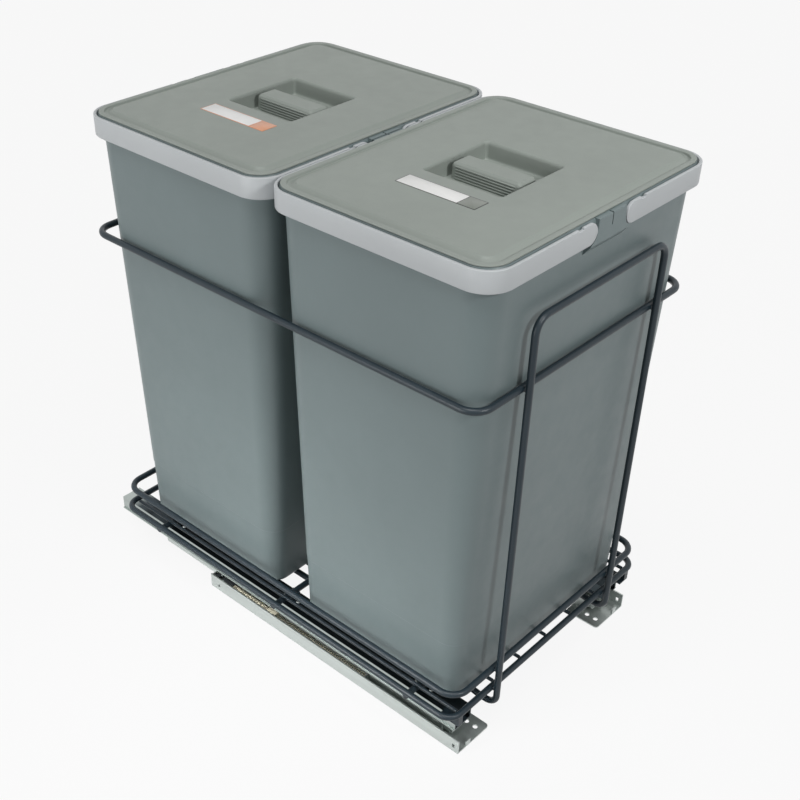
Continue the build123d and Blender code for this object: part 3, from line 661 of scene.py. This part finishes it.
# ---------------------------------------------------------------- lids
def lid(place, body):
    """The lid as one closed shell, with its grip hollow from below."""
    low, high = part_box(f"{place}_lid")
    middle_y = (low[1] + high[1]) / 2 / MM
    top = high[2] / MM
    rim_top = top - panel_rise
    rim_low = rim_top - rim_height
    channel = rim_top - channel_depth
    panel_edge = rim_width + channel_width
    floor = top - pocket_depth
    pocket_foot = grown(pocket_half, -pocket_draw)
    grip_foot = grown(grip_half, grip_draw)
    grip_top = top - grip_drop

    def inside(inset, z):
        return (*grown(lid_outline, -inset), z)

    stations = [  # from under the grip, out round the skirt and the rim, to its top
        ((*grown(grip_half, -3.4), grip_top - 3.0), 0),
        ((*grown(grip_half, -2.2), grip_top - 4.0), 0.8),
        ((*grown(grip_foot, -lid_wall), floor - lid_wall), 0.8),
        ((*grown(pocket_foot, lid_wall), floor - lid_wall), 2.0),
        ((*grown(pocket_half, lid_wall), rim_low), 1.0),
        (inside(panel_edge + lid_wall, rim_low), 0.6),
        (inside(panel_edge + lid_wall, channel - lid_wall), 1.2),
        (inside(skirt_inset + lid_wall, channel - lid_wall), 0.6),
        (inside(skirt_inset + lid_wall, rim_low - lid_skirt), 0.6),
        (inside(skirt_inset, rim_low - lid_skirt), 0.6),
        (inside(skirt_inset, rim_low), 0.3),
        (inside(0, rim_low), 0.5),
        (inside(0, rim_top), 0.75),
        (inside(rim_width, rim_top), 1.3),
        (inside(rim_width + 0.6, channel), 0.9),
        (inside(rim_width + 3.4, channel - 0.1), 2.2),
        (inside(panel_edge - 1.6, top - 1.6), 1.4),
        (inside(panel_edge, top), 1.5),
        ((*grown(pocket_half, 0.6), top), 1.9),
        ((*grown(pocket_half, -0.5), top - 2.6), 1.2),
        ((*pocket_foot, floor), 2.6),
        ((*grip_foot, floor), 0.8),
        ((*grown(grip_half, 0.1), grip_top - 2.0), 2.6),
        ((*grown(grip_half, -3.0), grip_top), 1.6),
        ((*grown(grip_half, -3.6), grip_top), 0),
    ]
    shell = Shell()
    shell.loft([outline(half_x, half_y, max(radius, 0.3), z, middle_y, lid_steps)
                for half_x, half_y, radius, z in soften(stations)])
    for side in (-1, 1):
        add_grip_ribs(shell, middle_y, side, floor)
    cover = shell.piece(f"{place}_lid_shell", body, "lid_plastic", materials["lid_plastic"],
                        smooth_angle=40)
    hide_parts(f"{place}_lid")


def add_grip_ribs(shell, middle_y, side, floor):
    """Rounded finger ribs along a long side of the grip."""
    half_y = grip_half[1] - rib_inset
    for i in range(rib_count):
        x = side * (grip_half[0] + rib_proud - rib_lean * i)
        z = floor + rib_first + rib_pitch * i
        shell.loft([[(x + radius * c, middle_y + y, z + radius * s) for c, s in circle(10)]
                    for y, radius in ((-half_y, rib_end_r), (rib_end - half_y, rib_r),
                                      (half_y - rib_end, rib_r), (half_y, rib_end_r))])


def add_sheet(shell, x_half, y_low, y_high, z_low, z_high, middle_y):
    """A thin plate on the lid, in the label's own X, with its top edge eased."""
    rings = []
    for ease, z in ((0.0, z_low), (0.0, z_high - label_ease_drop), (label_ease, z_high)):
        ring = outline(x_half - ease, (y_high - y_low) / 2 - ease, label_corner_r, z,
                       middle_y + (y_high + y_low) / 2, 4)
        rings.append([(x - label_from_middle, y, z) for x, y, z in ring])
    shell.loft(rings)


def label_plate(place, body):
    """A blank white field on a coloured plate that shows as its border and end."""
    low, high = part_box(f"{place}_label")
    middle_y = (low[1] + high[1]) / 2 / MM
    z_low, z_high = low[2] / MM, high[2] / MM
    half_x, half_y = label_half
    plate = Shell()
    add_sheet(plate, half_x, -half_y, half_y, z_low, z_high - label_step, middle_y)
    made = plate.piece(f"{place}_label_plate", body, "label_film", label_trims[place])
    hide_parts(f"{place}_label")
    field = Shell()
    add_sheet(field, half_x - label_border, label_end - half_y, half_y - label_border,
              z_low + label_lap, z_high, middle_y)
    field.piece(f"{place}_label_field", body, "label_film", label_white)
    end = Shell()
    add_sheet(end, half_x - label_border, label_border - half_y,
              label_end - half_y - label_gap, z_low + label_lap, z_high, middle_y)
    end.piece(f"{place}_label_end", body, "label_film", label_ends[place])


# ---------------------------------------------------------------- basket
def middle_of(node):
    low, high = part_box(node)
    return [(a + b) / 2 / MM for a, b in zip(low, high)]


basket_mid_y = middle_of("guard_ring")[1]
run_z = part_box("cross_wires")[0][2] / MM - wire_r
cross_z = middle_of("cross_wires")[2]
floor_z = middle_of("floor_wires")[2]


def closed_ring(node, corner_r):
    """A ring of wire that lies flat round the bins."""
    low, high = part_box(node)
    x, y0, y1 = high[0] / MM - wire_r, low[1] / MM + wire_r, high[1] / MM - wire_r
    z = middle_of(node)[2]
    corners = [(-x, y0, z), (x, y0, z), (x, y1, z), (-x, y1, z)]
    shell = Shell()
    add_tube(shell, round_route(corners, [corner_r] * 4, closed=True), wire_r, closed=True)
    piece = shell.piece(f"{node}_wire", "carriage", "wire_coating",
                        materials["wire_coating"])
    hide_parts(node)


def hoop(node, end):
    """A tall frame that turns in under the floor, where its two runs end."""
    low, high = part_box(node)
    x = high[0] / MM - wire_r
    top = high[2] / MM - wire_r
    post = (low[1] / MM + wire_r) if end < 0 else (high[1] / MM - wire_r)
    foot_z = low[2] / MM + wire_r
    toe = post - end * hoop_foot_length
    ramp = toe - end * hoop_foot_ramp
    half = [(basket_mid_y, run_z), (ramp, run_z), (toe, foot_z), (post, foot_z), (post, top)]
    left = [(-x, y, z) for y, z in half]
    right = [(x, y, z) for y, z in reversed(half)]
    radii = [0, hoop_ramp_r, hoop_ramp_r, hoop_foot_r, hoop_top_r,
             hoop_top_r, hoop_foot_r, hoop_ramp_r, hoop_ramp_r, 0]
    shell = Shell()
    add_tube(shell, round_route(left + right, radii), wire_r)
    for side in (-1, 1):
        for ring_node in ("lower_base_ring", "upper_base_ring", "guard_ring"):
            z = middle_of(ring_node)[2]
            add_bead(shell, (side * x, post - end * wire_r, z), weld_r, (1.3, 0.9, 1.3))
    piece = shell.piece(f"{node}_wire", "carriage", "wire_coating",
                        materials["wire_coating"])
    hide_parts(node)


def cross_wires():
    low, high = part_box("cross_wires")
    reach = high[0] / MM
    first, last = low[1] / MM + wire_r, high[1] / MM - wire_r
    ring_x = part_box("lower_base_ring")[1][0] / MM - wire_r
    hoop_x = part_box("front_hoop")[1][0] / MM - wire_r
    shell = Shell()
    for y in (first, (first + last) / 2, last):
        route = [Vector((-reach, y, cross_z)), Vector((reach, y, cross_z))]
        add_tube(shell, route, wire_r)
        for side in (-1, 1):
            add_bead(shell, (side * ring_x, y, cross_z + wire_r), weld_r, (1.2, 1.2, 0.9))
            add_bead(shell, (side * hoop_x, y, cross_z - wire_r), weld_r, (1.2, 1.2, 0.9))
    piece = shell.piece("cross_wires_coated", "carriage", "wire_coating",
                        materials["wire_coating"])
    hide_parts("cross_wires")


def floor_wires():
    low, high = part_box("floor_wires")
    cross = [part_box("cross_wires")[0][1] / MM + wire_r, basket_mid_y,
             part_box("cross_wires")[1][1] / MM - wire_r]
    outer = high[0] / MM - floor_wire_r
    shell = Shell()
    between = [i * floor_wire_pitch for i in (-2, -1, 0, 1, 2)]
    for x in (-outer, *between, outer):
        route = [Vector((x, low[1] / MM, floor_z)), Vector((x, high[1] / MM, floor_z))]
        add_tube(shell, route, floor_wire_r, floor_wire_sides)
        for y in cross:
            add_bead(shell, (x, y, floor_z - floor_wire_r), floor_weld_r, (1.1, 1.2, 0.8))
    piece = shell.piece("floor_wires_coated", "carriage", "wire_coating",
                        materials["wire_coating"])
    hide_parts("floor_wires")


# ---------------------------------------------------------------- soft close
def closing_spring(side_name):
    """The closer's spring as one coil. The real one shortens as the catch is drawn forward.
    """
    node = f"{side_name}_closing_spring"
    low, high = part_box(node)
    x, _, z = middle_of(node)
    start, end = low[1] / MM + spring_wire_r, high[1] / MM - spring_wire_r
    count = spring_turns * spring_steps
    route = []
    for i in range(count + 1):
        a = 2 * math.pi * i / spring_steps
        y = start + (end - start) * i / count
        route.append(Vector((x + spring_r * math.cos(a), y, z + spring_r * math.sin(a))))
    shell = Shell()
    shell.loft(tube_rings(route, spring_wire_r, spring_sides, round_ends=0))
    coil = shell.piece(f"{node}_coil", "cabinet_fixture", "spring_steel",
                       materials["spring_steel"], smooth_angle=60)
    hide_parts(node)
    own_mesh(coil)


# ---------------------------------------------------------------- build
for place in ("front", "rear"):
    waste_bin(place, f"{place}_tub")
    lid(place, f"{place}_cover")
    label_plate(place, f"{place}_cover")
    for side_name, side in (("left", -1), ("right", 1)):
        bail_handle(place, side_name, side, f"{place}_{side_name}_bail")
closed_ring("lower_base_ring", lower_ring_corner_r)
closed_ring("upper_base_ring", ring_corner_r)
closed_ring("guard_ring", ring_corner_r)
hoop("front_hoop", -1)
hoop("rear_hoop", 1)
cross_wires()
floor_wires()
for side_name in ("left", "right"):
    closing_spring(side_name)

for entry in frame["record"]["subparts"]:
    node = frame["nodes"][entry["node"]]
    finish = materials.get(entry["material_slot"], label_white)
    # The basket rails get the steel with painted shade along their tops.
    if entry["node"].endswith("basket_rail"):
        finish = basket_rail_steel
    for slot in node.material_slots:
        slot.material = finish


# ---------------------------------------------------------------- stage
def seen_share(tree, share):
    """The given share for rays of the camera, gloss and transmission, else nothing."""
    path = tree.nodes.new("ShaderNodeLightPath")
    seen = path.outputs["Is Camera Ray"]
    for kind in ("Is Glossy Ray", "Is Transmission Ray"):
        seen = maths(tree, "MAXIMUM", seen, path.outputs[kind])
    return maths(tree, "MULTIPLY", seen, share)


def stage():
    """A wide pale floor just under the slides, which shows as nearly white."""
    mesh = bpy.data.meshes.new("studio_floor")
    corners = [(x * stage_reach, y * stage_reach, stage_z)
               for x, y in ((-1, -1), (1, -1), (1, 1), (-1, 1))]
    mesh.from_pydata(corners, [], [[0, 1, 2, 3]])
    floor = bpy.data.objects.new("studio_floor", mesh)
    bpy.context.scene.collection.objects.link(floor)
    look = Look("studio_floor")
    look.put("Base Color", (0.5, 0.5, 0.5, 1.0))
    look.put("Roughness", 0.9)
    look.put("Specular IOR Level", 0.1)
    glow = look.node("ShaderNodeEmission")
    mixed = look.node("ShaderNodeMixShader")
    look.link(seen_share(look.tree, stage_white), mixed.inputs["Fac"])
    look.link(look.shader.outputs["BSDF"], mixed.inputs[1])
    look.link(glow.outputs["Emission"], mixed.inputs[2])
    look.link(mixed.outputs["Shader"],
              look.tree.nodes["Material Output"].inputs["Surface"])
    mesh.materials.append(look.material)


def aim(name, lamp, towards, place=(0.0, 0.0, 0.0)):
    made = bpy.data.objects.new(name, lamp)
    made.location = place
    made.rotation_euler = Vector(towards).to_track_quat("-Z", "Y").to_euler()
    bpy.context.scene.collection.objects.link(made)


def sun(name, towards, strength, spread):
    lamp = bpy.data.lights.new(name, "SUN")
    lamp.energy = strength
    lamp.angle = math.radians(spread)
    aim(name, lamp, towards)


def softbox(name, place, aimed_at, power, size, spread=180):
    """A square lamp that faces a point."""
    lamp = bpy.data.lights.new(name, "AREA")
    lamp.energy = power
    lamp.size = size
    lamp.spread = math.radians(spread)
    aim(name, lamp, Vector(aimed_at) - Vector(place), place)


def lights():
    """A white world that lights little but is seen as white, and four lamps."""
    world = bpy.data.worlds.new("studio")
    world.use_nodes = True
    tree = world.node_tree
    background = tree.nodes["Background"]
    background.inputs["Color"].default_value = (1.0, 1.0, 1.0, 1.0)
    level = maths(tree, "ADD", seen_share(tree, 1.0 - ambient), ambient)
    tree.links.new(level, background.inputs["Strength"])
    bpy.context.scene.world = world
    sun("top", (0.3, 0.1, -1.0), 1.6, 35)
    softbox("side", (-2.0, 0.6, 0.5), (-0.16, 0.2, 0.3), 17.5, 1.1)
    softbox("front", (-0.12, -1.02, 1.15), (0.0, -0.02, 0.35), 7.0, 0.2)
    softbox("low_side", (-1.1, 0.5, 0.6), (-0.16, 0.17, 0.01), 0.42, 0.4, 35)


def camera():
    """The photograph's view, from the left front and above."""
    yaw, pitch, roll = (math.radians(a) for a in (47.74, 35.77, 0.75))
    focal_share = 1210.9 / 800  # of the picture's width
    axis_at = (361.9 / 800, 458.1 / 800)
    ahead = Vector((math.cos(pitch) * math.sin(yaw), math.cos(pitch) * math.cos(yaw),
                    -math.sin(pitch)))
    level = Vector((math.cos(yaw), -math.sin(yaw), 0.0))
    above = level.cross(ahead)
    right = level * math.cos(roll) + above * math.sin(roll)
    up = above * math.cos(roll) - level * math.sin(roll)
    data = bpy.data.cameras.new("camera")
    data.sensor_width = 36.0
    data.lens = 36.0 * focal_share
    data.shift_x = 0.5 - axis_at[0]
    data.shift_y = axis_at[1] - 0.5
    made = bpy.data.objects.new("camera", data)
    turn = Matrix((right, up, -ahead)).transposed().to_4x4()
    place = Vector((-0.8349, -0.7388 + basket_mid_y * MM, 0.9697))
    made.matrix_world = Matrix.Translation(place) @ turn
    bpy.context.scene.collection.objects.link(made)
    bpy.context.scene.camera = made


stage()
lights()
camera()
bpy.context.scene.view_settings.view_transform = "Standard"
